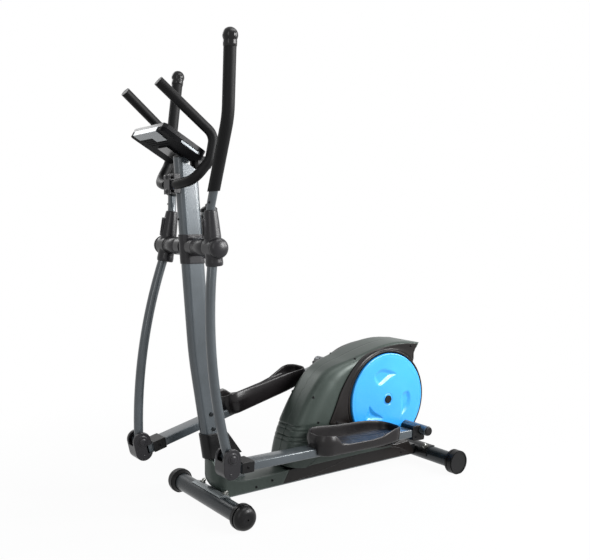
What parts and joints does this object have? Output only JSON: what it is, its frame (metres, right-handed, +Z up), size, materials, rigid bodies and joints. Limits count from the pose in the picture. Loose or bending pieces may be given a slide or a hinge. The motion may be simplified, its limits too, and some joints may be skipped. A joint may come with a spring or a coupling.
{
  "type": "elliptical trainer",
  "caption": "Rear-drive elliptical trainer: leaning oval mast, swinging handle arms, pedal arms with foot trays, round blue crank discs in a sloping drive housing and two cross feet.",
  "frame": {"origin": "middle of the machine's footprint on the floor", "axes": "+X towards the rear (crank end), +Y to the user's right, +Z up"},
  "size_m": [1.252, 0.6766, 1.5449],
  "materials": {
    "frame_paint": "satin metallic powder coat",
    "rail_steel": "satin grey",
    "stabiliser_paint": "satin dark blue-grey",
    "cap_plastic": "moulded, satin",
    "charcoal_plastic": "moulded, satin",
    "gloss_black": "glossy",
    "foam": "foam, satin",
    "zinc": "zinc plated",
    "bare_steel": "turned",
    "cast": "machined",
    "house_plastic": "metallic grey-green, satin",
    "trim_plastic": "black-brown, satin",
    "disc_plastic": "bright blue, glossy",
    "pulley_plastic": "moulded",
    "belt_rubber": "ribbed",
    "tray_plastic": "moulded, satin",
    "console_plastic": "moulded",
    "silver_plastic": "silver, satin",
    "lens": "dark display window",
    "key_rubber": "grey",
    "bottle_plastic": "pale, translucent"
  },
  "bodies": {
    "frame": {"main_frame": "rail_steel", "front_stabiliser": "stabiliser_paint", "rear_stabiliser": "stabiliser_paint", "front_collars": "cap_plastic", "rear_caps": "cap_plastic", "frame_bolts": "zinc", "mast": "frame_paint", "mast_boot": "cap_plastic", "pivot_collar": "charcoal_plastic", "pivot_axle": "bare_steel", "pulse_bar": "bare_steel", "pulse_grips": "foam", "bar_clamp": "charcoal_plastic", "console_back": "console_plastic", "console_front": "console_plastic", "console_window": "lens", "console_trim": "silver_plastic", "tension_base": "cap_plastic", "bottle": "bottle_plastic", "bottle_cage": "cap_plastic", "front_cowl": "house_plastic", "rail_cover": "trim_plastic", "housing": "house_plastic", "housing_trim": "trim_plastic", "cover_screws": "bare_steel", "bearings": "bare_steel", "belt": "belt_rubber"},
    "crank": {"crank": "cast", "crank_pulley": "pulley_plastic", "disc_left": "disc_plastic", "disc_right": "disc_plastic", "disc_caps": "cap_plastic"},
    "flywheel": {"flywheel": "cast"},
    "idler": {"idler": "pulley_plastic"},
    "brake": {"magnet_bracket": "bare_steel"},
    "dial": {"tension_knob": "cap_plastic"},
    "wheel_left": {"wheel_left": "cap_plastic"},
    "wheel_right": {"wheel_right": "cap_plastic"},
    "button_1": {"console_button_1": "key_rubber"},
    "button_2": {"console_button_2": "key_rubber"},
    "swing_left": {"swing_tube_left": "frame_paint", "handle_tube_left": "frame_paint", "handle_grip_left": "foam", "handle_ball_left": "gloss_black", "arm_cover_left": "charcoal_plastic"},
    "pedal_left": {"pedal_tube_left": "frame_paint", "foot_tray_left": "tray_plastic", "pedal_pins_left": "bare_steel", "joint_cover_left": "charcoal_plastic", "pedal_covers_left": "cap_plastic"},
    "swing_right": {"swing_tube_right": "frame_paint", "handle_tube_right": "frame_paint", "handle_grip_right": "foam", "handle_ball_right": "gloss_black", "arm_cover_right": "charcoal_plastic"},
    "pedal_right": {"pedal_tube_right": "frame_paint", "foot_tray_right": "tray_plastic", "pedal_pins_right": "bare_steel", "joint_cover_right": "charcoal_plastic", "pedal_covers_right": "cap_plastic"}
  },
  "joints": [
    {"name": "crank_spin", "type": "hinge", "parent": "frame", "child": "crank", "pos_m": [0.3347, 0, 0.3028], "axis": [0, -1, 0], "continuous": true},
    {"name": "flywheel_spin", "type": "hinge", "parent": "frame", "child": "flywheel", "pos_m": [0.104, 0, 0.244], "axis": [0, -1, 0], "continuous": true},
    {"name": "idler_spin", "type": "hinge", "parent": "frame", "child": "idler", "pos_m": [0.19141, 0, 0.18959], "axis": [0, -1, 0], "continuous": true},
    {"name": "brake_hinge", "type": "hinge", "parent": "frame", "child": "brake", "pos_m": [0.16971, 0, 0.34916], "axis": [0, 1, 0], "range_deg": [0, 6]},
    {"name": "dial_turn", "type": "hinge", "parent": "frame", "child": "dial", "pos_m": [-0.46491, 0, 1.172], "axis": [0.9976, 0, 0.0685], "range_deg": [0, 270]},
    {"name": "wheel_left_spin", "type": "hinge", "parent": "frame", "child": "wheel_left", "pos_m": [-0.39, -0.24, 0.0415], "axis": [0, -1, 0], "continuous": true},
    {"name": "wheel_right_spin", "type": "hinge", "parent": "frame", "child": "wheel_right", "pos_m": [-0.39, 0.24, 0.0415], "axis": [0, -1, 0], "continuous": true},
    {"name": "button_1_press", "type": "slide", "parent": "frame", "child": "button_1", "axis": [-0.5105, 0, -0.8599], "range_m": [0, 0.0015], "stiffness_N_per_m": 400, "springref_m": -0.001},
    {"name": "button_2_press", "type": "slide", "parent": "frame", "child": "button_2", "axis": [-0.5105, 0, -0.8599], "range_m": [0, 0.0015], "stiffness_N_per_m": 400, "springref_m": -0.001},
    {"name": "swing_left_hinge", "type": "hinge", "parent": "frame", "child": "swing_left", "pos_m": [-0.4554, -0.162, 0.9028], "axis": [0, -1, 0], "range_deg": [-20.1, 4.7]},
    {"name": "swing_right_hinge", "type": "hinge", "parent": "frame", "child": "swing_right", "pos_m": [-0.4554, 0.162, 0.9028], "axis": [0, -1, 0], "range_deg": [-6, 18.9]},
    {"name": "pedal_left_hinge", "type": "hinge", "parent": "swing_left", "child": "pedal_left", "pos_m": [-0.40921, -0.162, 0.22678], "axis": [0, -1, 0], "range_deg": [-5.5, 21]},
    {"name": "pedal_right_hinge", "type": "hinge", "parent": "swing_right", "child": "pedal_right", "pos_m": [-0.57399, 0.162, 0.23566], "axis": [0, -1, 0], "range_deg": [-19, 6]}
  ],
  "couplings": [
    {"joint": "flywheel_spin", "follows": "crank_spin", "ratio": 6.4913},
    {"joint": "idler_spin", "follows": "crank_spin", "ratio": -6.3207},
    {"joint": "brake_hinge", "follows": "dial_turn", "ratio": 0.0222},
    {"joint": "swing_right_hinge", "follows": "swing_left_hinge", "ratio": -0.93},
    {"joint": "pedal_left_hinge", "follows": "swing_left_hinge", "ratio": -1},
    {"joint": "pedal_right_hinge", "follows": "swing_left_hinge", "ratio": 0.93}
  ]
}
